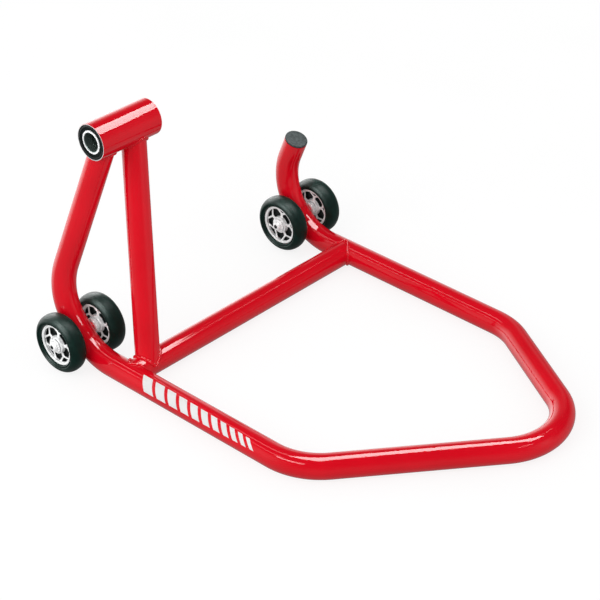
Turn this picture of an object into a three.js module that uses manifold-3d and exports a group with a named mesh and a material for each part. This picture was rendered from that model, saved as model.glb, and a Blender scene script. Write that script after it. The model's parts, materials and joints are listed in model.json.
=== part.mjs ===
// Rear paddock stand for a motorcycle with a single-sided swingarm.
//
// Millimetres, +Z up. The left side (-X) carries the hub sleeve and the handle loop points to -Y.
// Everything is laid out from the point on the floor midway between the two wheel pairs, under
// their axle line. At the end the whole stand is moved so that its origin is the middle of its
// footprint on the floor.

import * as THREE from 'three';
import { mergeVertices } from 'three/addons/utils/BufferGeometryUtils.js';
import Module from 'manifold-3d';

const wasm = await Module();
wasm.setup();

// ---- driving dimensions ---------------------------------------------------------------------

const GAP = 0.3; // left between pieces that touch, and at the coped tube ends
const SIDES = { left: -1, right: 1 };

// Frame tube
const TUBE_R = 20;
const TUBE_WALL = 2;
const HOOK_BEND_R = 100; // centre line of the four bends in the hooks
const LOOP_BEND_R = 106; // centre line of the three bends in the floor loop
const TRACK = 510; // between the centre planes of the two hooks
const HOOK_SLOPE = THREE.MathUtils.degToRad(50); // of the tube where the axles cross it
const LEFT_HOOK_TOP_Z = 108.5; // corner where the left hook turns into the upright
const RIGHT_HOOK_TOP_Z = 104; // corner where the right hook turns into the stub
const FRONT_CORNER_Y = -471; // where the floor runs turn in towards the handle
const FRONT_CORNER_INSET = 3;
const HANDLE_X = 87; // the handle's corner is off centre, away from the sleeve
const HANDLE_Y = -748;
const CROSSBAR_Y = -113;
const STUB_LEAN = THREE.MathUtils.degToRad(23);
const STUB_LENGTH = 98; // from the hook's top corner to the open end
const BRACE_FOOT_INSET = 39; // from the left hook's plane, along the crossbar

// Sleeve and hub bearings
const SLEEVE_R = 30;
const SLEEVE_LENGTH = 120;
const SLEEVE_CENTRE = new THREE.Vector3(-154, -10, 378);
const UPRIGHT_TOP_X = -181.5;
const BRACE_TOP_X = -128;
const HUB_BEARING = { bore: 15, innerR: 19.1, outerR: 24.6, seatR: 27.5, width: 13, balls: 11, ballR: 3.2 };
const CAGE_HALF_THICKNESS = 0.8;
const CAGE_HALF_WIDTH = 1.2;
const SEAL_INSET = 0.6;
const SEAL_THICKNESS = 1.2;

// Wheels
const WHEEL_R = 50;
const WHEEL_OFFSET = 41.5; // from the hook's plane to the wheel's centre
const RIM_R = 35;
const RIM_HALF_WIDTH = 10.4;
const RIM_WALL = 4;
const HUB_R = 15.5;
const HUB_HALF_WIDTH = 11;
const WEB_HALF_THICKNESS = 1.5; // the closed disc behind the spokes
const SPOKES = 5;
const FIRST_SPOKE = THREE.MathUtils.degToRad(97); // from +Y towards +Z
const SPOKE_SPREAD = THREE.MathUtils.degToRad(27); // half the angle between a spoke's two arms
const SPOKE_FORK_R = 21.5;
const STEM = { width: 6, depth: 12 };
const ARM = { width: 3.6, depth: 9 };
const WHEEL_BEARING = { bore: 5.3, innerR: 7.8, outerR: 11.2, seatR: 13.3, width: 8, shield: 0.7 };

// Axles
const BOLT_R = 5;
const BOLT_HEAD_R = 8.75;
const BOLT_HEAD_HEIGHT = 5.5;
const BOLT_TIP = 26; // past the wheel's centre, on the nut side
const HEX_SOCKET_ACROSS = 6;
const HEX_SOCKET_DEPTH = 3.5;
const WASHER_R = 12;
const BOSS_R = 7; // of the washers and spacers, where they bear on a wheel bearing's inner ring
const NUT = { across: 17, hexHeight: 7, collarR: 7.4, height: 10 };
const AXLE_SLEEVE_R = 10;
const AXLE_SLEEVE_HALF = 22.5;
const SPACER_R = 12;

// Facets round a full turn
const TUBE_FACETS = 16;
const HUB_FACETS = 20;
const WHEEL_FACETS = 20;
const SMALL_FACETS = 12;
const BEND_STEP = THREE.MathUtils.degToRad(13);

// ---- finishes -------------------------------------------------------------------------------

function finish(color, roughness, metalness) {
  return () => new THREE.MeshStandardMaterial({ color, roughness, metalness });
}
const redPaint = finish(0xd0101c, 0.22, 0.0);
const bareSteel = finish(0xb8bbbd, 0.3, 1.0);
const zincPlate = finish(0xc9cbc8, 0.35, 1.0);
const castAluminium = finish(0xc4c6c8, 0.38, 1.0);
const tyreRubber = finish(0x14161a, 0.55, 0.0);
const sealRubber = finish(0x0e0f10, 0.6, 0.0);
const capPlastic = finish(0x3d4142, 0.55, 0.0);

// ---- solids ---------------------------------------------------------------------------------

function toManifold(geometry) {
  const bare = geometry.clone();
  bare.deleteAttribute('normal');
  bare.deleteAttribute('uv');
  const merged = mergeVertices(bare, 1e-4);
  const triVerts = new Uint32Array(merged.index.array);
  return new wasm.Manifold(
    new wasm.Mesh({ numProp: 3, vertProperties: merged.attributes.position.array, triVerts }),
  );
}

function toGeometry(solid) {
  const { vertProperties, triVerts } = solid.getMesh();
  const geometry = new THREE.BufferGeometry();
  geometry.setAttribute('position', new THREE.BufferAttribute(vertProperties, 3));
  geometry.setIndex(new THREE.BufferAttribute(triVerts, 1));
  geometry.computeVertexNormals();
  return geometry;
}

// Joins the first geometries, takes the others away from them and keeps the largest body left.
function carve(joined, removed = []) {
  const whole = joined.map(toManifold).reduce((a, b) => a.add(b));
  const rest = removed.map(toManifold).reduce((a, b) => a.subtract(b), whole);
  const pieces = rest.decompose().sort((a, b) => b.volume() - a.volume());
  return toGeometry(pieces[0]);
}

// Turns a profile of [radius, along] points about the X axis. The profile either runs from axis
// to axis or is closed here by repeating its first point.
function turned(profile, facets) {
  const points = profile.map(([radius, along]) => new THREE.Vector2(radius, along));
  if (THREE.ShapeUtils.area(points) < 0) points.reverse();
  const count = points.length;
  const onAxis = points.findIndex((point, i) => point.x === 0 && points[(i + count - 1) % count].x === 0);
  const ordered = onAxis < 0 ? points : [...points.slice(onAxis), ...points.slice(0, onAxis)];
  if (onAxis < 0) ordered.push(ordered[0].clone());
  return new THREE.LatheGeometry(ordered, facets).rotateZ(-Math.PI / 2);
}

function ringProfile(innerR, outerR, from, to) {
  return [[innerR, from], [outerR, from], [outerR, to], [innerR, to]];
}

const mirrored = (profile) => profile.map(([radius, along]) => [radius, -along]);

const rod = (radius, from, to, facets) => turned(ringProfile(0, radius, from, to), facets);

const ring = (innerR, outerR, from, to, facets) => turned(ringProfile(innerR, outerR, from, to), facets);

// ---- bent tube ------------------------------------------------------------------------------

// A centre line from one end point to the other through corners that are rounded at their bend
// radii, with a station at each end of a straight run and every few degrees round a bend.
class BentLine extends THREE.Curve {
  constructor(from, to, corners = []) {
    super();
    const points = [from, ...corners.map(([corner]) => corner), to];
    const headings = points.slice(1).map((point, i) => point.clone().sub(points[i]).normalize());
    this.stations = [{ point: from, heading: headings[0] }];
    corners.forEach(([corner, bendR], i) => this.addBend(corner, headings[i], headings[i + 1], bendR));
    this.stations.push({ point: to, heading: headings.at(-1) });
  }

  addBend(corner, incoming, outgoing, bendR) {
    const angle = incoming.angleTo(outgoing);
    const axis = incoming.clone().cross(outgoing).normalize();
    const start = corner.clone().addScaledVector(incoming, -bendR * Math.tan(angle / 2));
    const centre = axis.clone().cross(incoming).multiplyScalar(bendR).add(start);
    const steps = Math.max(1, Math.round(angle / BEND_STEP));
    for (let step = 0; step <= steps; step++) {
      const turn = new THREE.Quaternion().setFromAxisAngle(axis, (angle * step) / steps);
      const point = start.clone().sub(centre).applyQuaternion(turn).add(centre);
      this.stations.push({ point, heading: incoming.clone().applyQuaternion(turn) });
    }
  }

  get steps() {
    return this.stations.length - 1;
  }

  station(u) {
    return this.stations[Math.round(u * this.steps)];
  }

  getPoint(u) {
    return this.station(u).point.clone();
  }

  getPointAt(u) {
    return this.getPoint(u);
  }

  getTangentAt(u) {
    return this.station(u).heading.clone();
  }
}

function swept(line, outerR, innerR = 0) {
  const section = new THREE.Shape().absarc(0, 0, outerR, 0, 2 * Math.PI);
  if (innerR > 0) section.holes.push(new THREE.Path().absarc(0, 0, innerR, 0, 2 * Math.PI, true));
  return new THREE.ExtrudeGeometry(section, {
    extrudePath: line,
    steps: line.steps,
    curveSegments: TUBE_FACETS / 2,
  });
}

const tube = (line) => swept(line, TUBE_R, TUBE_R - TUBE_WALL);
const tubeRoom = (line) => swept(line, TUBE_R + GAP);

// ---- layout ---------------------------------------------------------------------------------

const v = (x, y, z) => new THREE.Vector3(x, y, z);

// The hook's sloping run passes through the axle line.
const onHook = (side, z) => v((side * TRACK) / 2, (z - WHEEL_R) / Math.tan(HOOK_SLOPE), z);

const uprightTop = v(UPRIGHT_TOP_X, SLEEVE_CENTRE.y, SLEEVE_CENTRE.z);
const braceTop = v(BRACE_TOP_X, SLEEVE_CENTRE.y, SLEEVE_CENTRE.z);
const braceFoot = v(-TRACK / 2 + BRACE_FOOT_INSET, CROSSBAR_Y, TUBE_R);
const frontCorner = (side) => v(side * (TRACK / 2 - FRONT_CORNER_INSET), FRONT_CORNER_Y, TUBE_R);
const stubCorner = onHook(SIDES.right, RIGHT_HOOK_TOP_Z);
const stubHeading = v(0, -Math.sin(STUB_LEAN), Math.cos(STUB_LEAN));
const stubEnd = stubCorner.clone().addScaledVector(stubHeading, STUB_LENGTH);

const mainLine = new BentLine(uprightTop, stubEnd, [
  [onHook(SIDES.left, LEFT_HOOK_TOP_Z), HOOK_BEND_R],
  [onHook(SIDES.left, TUBE_R), HOOK_BEND_R],
  [frontCorner(SIDES.left), LOOP_BEND_R],
  [v(HANDLE_X, HANDLE_Y, TUBE_R), LOOP_BEND_R],
  [frontCorner(SIDES.right), LOOP_BEND_R],
  [onHook(SIDES.right, TUBE_R), HOOK_BEND_R],
  [stubCorner, HOOK_BEND_R],
]);
const crossbarEnd = (side) => v((side * TRACK) / 2, CROSSBAR_Y, TUBE_R);
const crossbarLine = new BentLine(crossbarEnd(SIDES.left), crossbarEnd(SIDES.right));
const braceLine = new BentLine(braceFoot, braceTop);

const sleeveRoom = rod(SLEEVE_R + GAP, -SLEEVE_LENGTH / 2, SLEEVE_LENGTH / 2, HUB_FACETS)
  .translate(SLEEVE_CENTRE.x, SLEEVE_CENTRE.y, SLEEVE_CENTRE.z);

const axleHeight = v(0, 0, WHEEL_R);

// ---- the stand ------------------------------------------------------------------------------

const stand = new THREE.Group();

function add(parent, name, geometry, makeMaterial) {
  const mesh = new THREE.Mesh(geometry, makeMaterial());
  mesh.name = name;
  parent.add(mesh);
  return mesh;
}

function addGroup(parent, position) {
  const group = new THREE.Group();
  group.position.copy(position);
  parent.add(group);
  return group;
}

// One bent tube is the upright, both hooks, both floor runs, the handle and the stub.
function addFrameTubes() {
  const axleHoles = Object.values(SIDES).map((side) =>
    rod(AXLE_SLEEVE_R + GAP, -2 * TUBE_R, 2 * TUBE_R, SMALL_FACETS)
      .translate((side * TRACK) / 2, axleHeight.y, axleHeight.z));
  add(stand, 'main_tube', carve([tube(mainLine)], [sleeveRoom, ...axleHoles]), redPaint);
  add(stand, 'crossbar', carve([tube(crossbarLine)], [tubeRoom(mainLine)]), redPaint);
  const braceCuts = [sleeveRoom, tubeRoom(crossbarLine), tubeRoom(mainLine)];
  add(stand, 'brace_tube', carve([tube(braceLine)], braceCuts), redPaint);
}

// A plug with a rounded head and a gripping rib on its hollow shank.
function addEndCap() {
  const boreR = TUBE_R - TUBE_WALL;
  const head = [[0, 6], [TUBE_R - 3, 5.2], [TUBE_R, 2.8], [TUBE_R, GAP]];
  const shank = [
    [boreR - 1.2, GAP], [boreR - 1.2, -9], [boreR - 0.9, -12], [boreR - 2, -16],
    [boreR - 4, -16], [boreR - 4, 0],
  ];
  const profile = [...head, ...shank, [0, 0]];
  const cap = add(stand, 'stub_end_cap', turned(profile, SMALL_FACETS), capPlastic);
  cap.position.copy(stubEnd);
  cap.quaternion.setFromUnitVectors(v(1, 0, 0), stubHeading);
}

// ---- hub sleeve and its two bearings --------------------------------------------------------

function addHub() {
  const hub = addGroup(stand, SLEEVE_CENTRE);
  const { bore, innerR, outerR, seatR, width, balls, ballR } = HUB_BEARING;
  const half = SLEEVE_LENGTH / 2;
  const shoulder = half - width - 2 * GAP;
  const shoulderR = seatR - 3;
  const spacerR = bore + 3;
  const seatProfile = [
    [SLEEVE_R, -half], [SLEEVE_R, half], [seatR, half], [seatR, shoulder], [shoulderR, shoulder],
    [shoulderR, -shoulder], [seatR, -shoulder], [seatR, -half],
  ];
  add(hub, 'bearing_sleeve', turned(seatProfile, HUB_FACETS), redPaint);
  add(hub, 'hub_bearing_spacer', ring(bore, spacerR, -shoulder, shoulder, HUB_FACETS), bareSteel);

  const middle = width / 2;
  const pitchR = (bore + seatR) / 2;
  const race = (wallR, trackR, backR) => [
    [backR, 0], [backR, width], [wallR, width], [wallR, middle + ballR], [trackR, middle],
    [wallR, middle - ballR], [wallR, 0],
  ];
  const sealR = [innerR + 0.4, outerR - GAP];
  for (const [sideName, side] of Object.entries(SIDES)) {
    // The bearing's own frame starts at its inward face and points outward.
    const bearing = addGroup(hub, v(side * (shoulder + GAP), 0, 0));
    bearing.rotation.z = side < 0 ? Math.PI : 0;
    const outerRing = turned(race(outerR, outerR + 0.7, seatR - GAP), HUB_FACETS);
    const innerRing = turned(race(innerR, innerR - 1.9, bore), HUB_FACETS);
    add(bearing, `hub_${sideName}_bearing_outer_ring`, outerRing, bareSteel);
    add(bearing, `hub_${sideName}_bearing_inner_ring`, innerRing, bareSteel);
    const cageR = [pitchR - CAGE_HALF_THICKNESS, pitchR + CAGE_HALF_THICKNESS];
    const cageRing = ring(...cageR, middle - CAGE_HALF_WIDTH, middle + CAGE_HALF_WIDTH, 2 * balls);
    const ballRow = Array.from({ length: balls }, (_, i) =>
      new THREE.SphereGeometry(ballR, 5, 4)
        .translate(middle, 0, pitchR)
        .rotateX((i * 2 * Math.PI) / balls));
    add(bearing, `hub_${sideName}_ball_cage`, carve([cageRing, ...ballRow]), bareSteel);
    const outerSealEnd = width - SEAL_INSET;
    const seals = { outward: outerSealEnd - SEAL_THICKNESS, inward: SEAL_INSET };
    for (const [facing, from] of Object.entries(seals)) {
      const seal = ring(...sealR, from, from + SEAL_THICKNESS, HUB_FACETS);
      add(bearing, `hub_${sideName}_${facing}_seal`, seal, sealRubber);
    }
  }
}

// ---- wheels ---------------------------------------------------------------------------------

function tyreProfile() {
  const half = [[WHEEL_R, 6], [WHEEL_R - 4, 13.4], [42, 16], [RIM_R + GAP, RIM_HALF_WIDTH]];
  return [...half, ...mirrored(half).reverse()];
}

const tyreGeometry = () => turned(tyreProfile(), WHEEL_FACETS);

// A flat bar between two points of the wheel's plane, given as [radius, angle from +Y towards +Z].
function spokeBar(from, to, { width, depth }) {
  const [start, end] = [from, to].map(([radius, angle]) =>
    new THREE.Vector2(radius * Math.cos(angle), radius * Math.sin(angle)));
  const run = end.clone().sub(start);
  return new THREE.BoxGeometry(depth, run.length(), width)
    .rotateX(run.angle())
    .translate(0, (start.x + end.x) / 2, (start.y + end.y) / 2);
}

// A barrel and a bored hub, joined by a thin closed disc with Y-shaped spokes on both its faces.
function rimGeometry() {
  const barrelR = RIM_R - RIM_WALL;
  const { seatR, width } = WHEEL_BEARING;
  const shoulder = HUB_HALF_WIDTH - width;
  const seatEnd = shoulder - GAP;
  const shoulderR = seatR - 2.5;
  const hubProfile = [
    [HUB_R, -HUB_HALF_WIDTH], [HUB_R, HUB_HALF_WIDTH], [seatR, HUB_HALF_WIDTH], [seatR, seatEnd],
    [shoulderR, seatEnd], [shoulderR, -seatEnd], [seatR, -seatEnd], [seatR, -HUB_HALF_WIDTH],
  ];
  const barrel = ring(barrelR, RIM_R, -RIM_HALF_WIDTH, RIM_HALF_WIDTH, WHEEL_FACETS);
  const web = ring(HUB_R - 1, barrelR + 1.5, -WEB_HALF_THICKNESS, WEB_HALF_THICKNESS, WHEEL_FACETS);
  const bars = [];
  for (let i = 0; i < SPOKES; i++) {
    const angle = FIRST_SPOKE + (i * 2 * Math.PI) / SPOKES;
    bars.push(spokeBar([HUB_R - 1, angle], [SPOKE_FORK_R + 1, angle], STEM));
    for (const spread of [-SPOKE_SPREAD, SPOKE_SPREAD])
      bars.push(spokeBar([SPOKE_FORK_R, angle], [barrelR + 1.5, angle + spread], ARM));
  }
  return carve([barrel, turned(hubProfile, SMALL_FACETS), web, ...bars]);
}

// A shielded outer ring is a channel that is open only towards the inner ring.
function shieldedRingProfile() {
  const { innerR, outerR, seatR, width, shield } = WHEEL_BEARING;
  const backR = seatR - GAP;
  const shieldR = innerR + 0.5;
  return [
    [backR, 0], [backR, width], [shieldR, width], [shieldR, width - shield],
    [outerR, width - shield], [outerR, shield], [shieldR, shield], [shieldR, 0],
  ];
}

function addWheel(wheelName, parent, centreX, towardsTube) {
  const wheel = addGroup(parent, v(centreX, 0, 0));
  const { bore, innerR, width } = WHEEL_BEARING;
  add(wheel, `${wheelName}_tyre`, tyreGeometry(), tyreRubber);
  add(wheel, `${wheelName}_rim`, rimGeometry(), castAluminium);
  const shoulder = HUB_HALF_WIDTH - width;
  for (const [place, side] of [['near', towardsTube], ['far', -towardsTube]]) {
    const bearing = addGroup(wheel, v(side * shoulder, 0, 0));
    bearing.rotation.z = side < 0 ? Math.PI : 0;
    const outerRing = turned(shieldedRingProfile(), SMALL_FACETS);
    const innerRing = ring(bore, innerR, 0, width, SMALL_FACETS);
    add(bearing, `${wheelName}_${place}_bearing_outer_ring`, outerRing, bareSteel);
    add(bearing, `${wheelName}_${place}_bearing_inner_ring`, innerRing, bareSteel);
  }
  const spacerHalf = shoulder - GAP;
  const spacer = ring(bore, innerR - 1, -spacerHalf, spacerHalf, SMALL_FACETS);
  add(wheel, `${wheelName}_bearing_spacer`, spacer, zincPlate);
}

// ---- axles ----------------------------------------------------------------------------------

const WASHER_BOSS = HUB_HALF_WIDTH + GAP;
const WASHER_DISC = WASHER_BOSS + 1;
const WASHER_FACE = WASHER_DISC + 1.6;
const HEAD_SEAT = WASHER_FACE + GAP;

function boltGeometry() {
  const seat = -WHEEL_OFFSET - HEAD_SEAT;
  const top = seat - BOLT_HEAD_HEIGHT;
  const tip = WHEEL_OFFSET + BOLT_TIP;
  const profile = [
    [0, top], [4.4, top], [6.8, top + 1.2], [8.2, top + 3], [BOLT_HEAD_R, top + 4.7], [BOLT_HEAD_R, seat],
    [BOLT_R, seat], [BOLT_R, tip - 1.2], [BOLT_R - 1.2, tip], [0, tip],
  ];
  const socket = rod(HEX_SOCKET_ACROSS / Math.sqrt(3), top - 1, top + HEX_SOCKET_DEPTH, 6);
  return carve([turned(profile, SMALL_FACETS)], [socket]);
}

function nutGeometry() {
  const seat = WHEEL_OFFSET + HEAD_SEAT;
  const hex = rod(NUT.across / Math.sqrt(3), seat, seat + NUT.hexHeight, 6);
  const collar = rod(NUT.collarR, seat + 1, seat + NUT.height, SMALL_FACETS);
  const thread = rod(BOLT_R + GAP, seat - 1, seat + NUT.height + 1, SMALL_FACETS);
  return carve([hex, collar], [thread]);
}

function addAxle(sideName, side) {
  const axle = addGroup(stand, v((side * TRACK) / 2, axleHeight.y, axleHeight.z));
  const bore = BOLT_R + GAP;
  const sleeve = ring(bore, AXLE_SLEEVE_R, -AXLE_SLEEVE_HALF, AXLE_SLEEVE_HALF, SMALL_FACETS);
  add(axle, `${sideName}_axle_sleeve`, sleeve, redPaint);
  add(axle, `${sideName}_axle_bolt`, boltGeometry(), zincPlate);
  add(axle, `${sideName}_lock_nut`, nutGeometry(), zincPlate);
  const [boss, disc, face] = [WASHER_BOSS, WASHER_DISC, WASHER_FACE].map((along) => WHEEL_OFFSET + along);
  const washerProfile = [
    [bore, boss], [BOSS_R, boss], [BOSS_R, disc], [WASHER_R, disc], [WASHER_R, face], [bore, face],
  ];
  add(axle, `${sideName}_head_washer`, turned(mirrored(washerProfile), SMALL_FACETS), zincPlate);
  add(axle, `${sideName}_nut_washer`, turned(washerProfile, SMALL_FACETS), zincPlate);

  const spacerProfile = [
    [bore, AXLE_SLEEVE_HALF + GAP], [SPACER_R, AXLE_SLEEVE_HALF + GAP], [SPACER_R, AXLE_SLEEVE_HALF + 5],
    [BOSS_R, WHEEL_OFFSET - WASHER_BOSS], [bore, WHEEL_OFFSET - WASHER_BOSS],
  ];
  for (const place of [-1, 1]) {
    const wheelName = `${sideName}_${place === side ? 'outer' : 'inner'}_wheel`;
    const profile = place < 0 ? mirrored(spacerProfile) : spacerProfile;
    add(axle, `${wheelName}_spacer`, turned(profile, SMALL_FACETS), zincPlate);
    addWheel(wheelName, axle, place * WHEEL_OFFSET, -place);
  }
}

// ---- assembly -------------------------------------------------------------------------------

addFrameTubes();
addEndCap();
addHub();
for (const [sideName, side] of Object.entries(SIDES)) addAxle(sideName, side);

const extent = new THREE.Box3().setFromObject(stand, true);
const footprint = extent.getCenter(new THREE.Vector3());
stand.position.set(-footprint.x, -footprint.y, -extent.min.z);

export default stand;
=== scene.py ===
"""The looks of a rear paddock stand for a motorcycle with a single-sided swingarm.

A shape is worked out in millimetres, and new_mesh turns it into metres. Everything is laid out
from the point on the floor midway between the two wheel pairs, under their axle line, which the
frame gives. A turned shape runs along X.
"""

import json
import math

import bmesh
import bpy
from mathutils import Matrix, Quaternion, Vector, noise

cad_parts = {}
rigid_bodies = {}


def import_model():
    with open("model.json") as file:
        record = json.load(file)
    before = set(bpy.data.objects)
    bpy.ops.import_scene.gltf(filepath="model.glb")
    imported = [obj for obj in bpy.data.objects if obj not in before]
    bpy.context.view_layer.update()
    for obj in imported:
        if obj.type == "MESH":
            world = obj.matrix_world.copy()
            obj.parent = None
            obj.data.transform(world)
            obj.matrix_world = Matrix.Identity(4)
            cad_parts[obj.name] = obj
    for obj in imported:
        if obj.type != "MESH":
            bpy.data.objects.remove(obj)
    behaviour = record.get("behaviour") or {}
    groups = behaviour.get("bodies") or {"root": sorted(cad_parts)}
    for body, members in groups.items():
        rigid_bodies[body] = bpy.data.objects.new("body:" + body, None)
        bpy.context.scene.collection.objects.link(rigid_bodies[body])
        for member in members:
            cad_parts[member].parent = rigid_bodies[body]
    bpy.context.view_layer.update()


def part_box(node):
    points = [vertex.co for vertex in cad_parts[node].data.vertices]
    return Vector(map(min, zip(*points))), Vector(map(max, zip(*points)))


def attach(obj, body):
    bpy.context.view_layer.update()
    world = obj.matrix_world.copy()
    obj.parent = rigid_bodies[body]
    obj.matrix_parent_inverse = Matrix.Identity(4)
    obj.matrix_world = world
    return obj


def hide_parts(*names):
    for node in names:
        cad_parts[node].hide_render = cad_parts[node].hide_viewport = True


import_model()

scene = bpy.context.scene

MM = 0.001
TURN = 2 * math.pi
X_AXIS = Vector((1, 0, 0))
LEFT, RIGHT = -1, 1
END_FOR_END = Matrix.Rotation(math.pi, 4, "Z")

# ---- driving dimensions, mm ----

TUBE_R = 20
TUBE_WALL = 2
HOOK_BEND_R = 100
LOOP_BEND_R = 106
HOOK_SLOPE = math.radians(50)
LEFT_HOOK_TOP_Z = 108.5
RIGHT_HOOK_TOP_Z = 104
FRONT_CORNER_Y = -471
FRONT_CORNER_INSET = 3
HANDLE_X = 87
HANDLE_Y = -748
STUB_LEAN = math.radians(23)
STUB_LENGTH = 98
BRACE_FOOT_INSET = 39
UPRIGHT_TOP_X = -181.5
BRACE_TOP_X = -128

HUB_BORE_R = 15
HUB_INNER_R = 19.1
HUB_OUTER_R = 24.6
HUB_SEAT_R = 27.5
HUB_BEARING_WIDTH = 13
HUB_BALLS = 11
HUB_BALL_R = 3.2
SEAL_INSET = 0.6
SEAL_THICKNESS = 1.2

RIM_R = 35
RIM_HALF_WIDTH = 10.4
RIM_LIP_INNER_R = 30.4
RIM_BARREL_INNER_R = 31.2
WHEEL_HUB_R = 15.5
WHEEL_HUB_HALF_WIDTH = 11
SPOKES = 5
FIRST_SPOKE = math.radians(97)
SPOKE_SPREAD = math.radians(27)
SPOKE_FORK_R = 21.5
STEM_WIDTH = 5.4
ARM_WIDTH = 3.2
SPOKE_HALF_DEPTH = 6.8
WEB_HALF = 1.5
RECESS_HALF = 5.2  # nearer the middle than this, the rim is black: partly a two-tone finish, partly painted shade in the recesses
WHEEL_BEARING_BORE_R = 5.3
WHEEL_BEARING_INNER_R = 7.8
WHEEL_BEARING_SEAT_R = 13.3
WHEEL_BEARING_WIDTH = 8

WHEEL_RACE_R = 11.2

BOLT_R = 5
BOLT_HEAD_HEIGHT = 5.5
BOLT_TIP = 26  # past the wheel's middle, on the nut's side
THREAD_PITCH = 1.5
THREAD_DEPTH = 0.75
HEX_SOCKET_ACROSS = 6
HEX_SOCKET_DEPTH = 3.4
NUT_ACROSS = 17
NUT_HEX_HEIGHT = 7
AXLE_SLEEVE_R = 10
AXLE_SLEEVE_HALF = TUBE_R + 1.2
SPACER_R = 13.2
WASHER_R = 12
WASHER_THICKNESS = 1.6
BOSS_R = 7  # of the washers and spacers, where they bear on a bearing's inner ring
BOSS_HEIGHT = 1
FIT = 0.3  # between pieces that touch

TUBE_SIDES = 72
FINE = 96  # facets round a large turned piece
SMALL = 48  # facets round a small one
BEND_STEP = math.radians(2.5)
BESIDE_BEND = 3  # a station this far from each bend keeps the shading of the straight runs straight

# ---- places from the frame ----

WHEELS = ("left_outer_wheel", "left_inner_wheel", "right_inner_wheel", "right_outer_wheel")


def box_mm(node):
    low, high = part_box(node)
    return low / MM, high / MM


def centre_mm(node):
    low, high = box_mm(node)
    return (low + high) / 2


wheel_centres = {name: centre_mm(name + "_tyre") for name in WHEELS}
axle_centres = {
    side: (wheel_centres[side + "_outer_wheel"] + wheel_centres[side + "_inner_wheel"]) / 2
    for side in ("left", "right")
}
track = axle_centres["right"].x - axle_centres["left"].x
axle_z = axle_centres["left"].z
origin = (axle_centres["left"] + axle_centres["right"]) / 2
origin.z = 0
sleeve_low, sleeve_high = box_mm("bearing_sleeve")
sleeve_centre = (sleeve_low + sleeve_high) / 2
sleeve_r = (sleeve_high.z - sleeve_low.z) / 2
sleeve_half = (sleeve_high.x - sleeve_low.x) / 2
hub_shoulder = sleeve_half - HUB_BEARING_WIDTH - 2 * FIT
crossbar_y = centre_mm("crossbar").y


def place(x, y, z):
    """A point of the layout, in the row frame."""
    return origin + Vector((x, y, z))


# ---- meshes ----


def new_mesh(name, verts, faces, sharp=40.0):
    """A mesh of points in mm, shaded smooth but for edges sharper than the angle in degrees."""
    mesh = bpy.data.meshes.new(name)
    mesh.from_pydata([tuple(Vector(v) * MM) for v in verts], [], faces)
    mesh.validate()
    shell = bmesh.new()
    shell.from_mesh(mesh)
    bmesh.ops.recalc_face_normals(shell, faces=shell.faces)
    shell.to_mesh(mesh)
    shell.free()
    for face in mesh.polygons:
        face.use_smooth = True
    mesh.set_sharp_from_angle(angle=math.radians(sharp))
    return mesh


def add_object(name, data):
    made = bpy.data.objects.new(name, data)
    scene.collection.objects.link(made)
    return made


def add_piece(name, mesh, materials, body, nodes, matrix=None):
    """Puts a mesh in the scene as a piece that rides on a body and stands for CAD nodes."""
    piece = add_object(name, mesh)
    if not mesh.materials:
        for material in materials:
            mesh.materials.append(material)
    if matrix is not None:
        piece.matrix_world = matrix
    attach(piece, body)
    if nodes:
        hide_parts(*nodes)
    return piece


def paint(mesh, materials, choose):
    """Gives each face the material that choose picks from its radius and place along X, in mm."""
    for material in materials:
        mesh.materials.append(material)
    for face in mesh.polygons:
        radius = math.hypot(face.center.y, face.center.z) / MM
        face.material_index = choose(radius, face.center.x / MM)
    return mesh


def at(point):
    """The matrix that moves a piece to a point given in mm."""
    return Matrix.Translation(point * MM)


def grid_faces(rows, columns, wrap_rows, wrap_columns=True):
    """Quads between rows of points, wrapped round in either direction."""
    faces = []
    for row in range(rows if wrap_rows else rows - 1):
        below = row * columns
        above = ((row + 1) % rows) * columns
        for column in range(columns if wrap_columns else columns - 1):
            right = (column + 1) % columns
            faces.append((below + column, below + right, above + right, above + column))
    return faces


def rounded(points, fillet=0.4, closed=True, steps=4):
    """An outline with its corners rounded. A third number in a point is that corner's own fillet."""
    outline = []
    for i, point in enumerate(points):
        here = Vector(point[:2])
        radius = point[2] if len(point) > 2 else fillet
        if radius == 0 or (not closed and i in (0, len(points) - 1)):
            outline.append(here)
            continue
        back = Vector(points[i - 1][:2]) - here
        ahead = Vector(points[(i + 1) % len(points)][:2]) - here
        half = back.angle(ahead) / 2
        to_back, to_ahead = back.normalized(), ahead.normalized()
        back_room, ahead_room = back.length * 0.48, ahead.length * 0.48
        setback = min(radius / math.tan(half), back_room, ahead_room)
        middle = (to_back + to_ahead).normalized()
        centre = here + middle * (setback / math.cos(half))
        start = here + to_back * setback - centre
        end = here + to_ahead * setback - centre
        from_angle = math.atan2(start.y, start.x)
        sweep = (math.atan2(end.y, end.x) - from_angle + math.pi) % TURN - math.pi
        beside = 1.2 * setback + 0.05  # a point here keeps the shading of a long side flat
        if beside < back_room:
            outline.append(here + to_back * beside)
        for step in range(steps + 1):
            angle = from_angle + sweep * step / steps
            outline.append(centre + Vector((math.cos(angle), math.sin(angle))) * start.length)
        if beside < ahead_room:
            outline.append(here + to_ahead * beside)
    return outline


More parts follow.
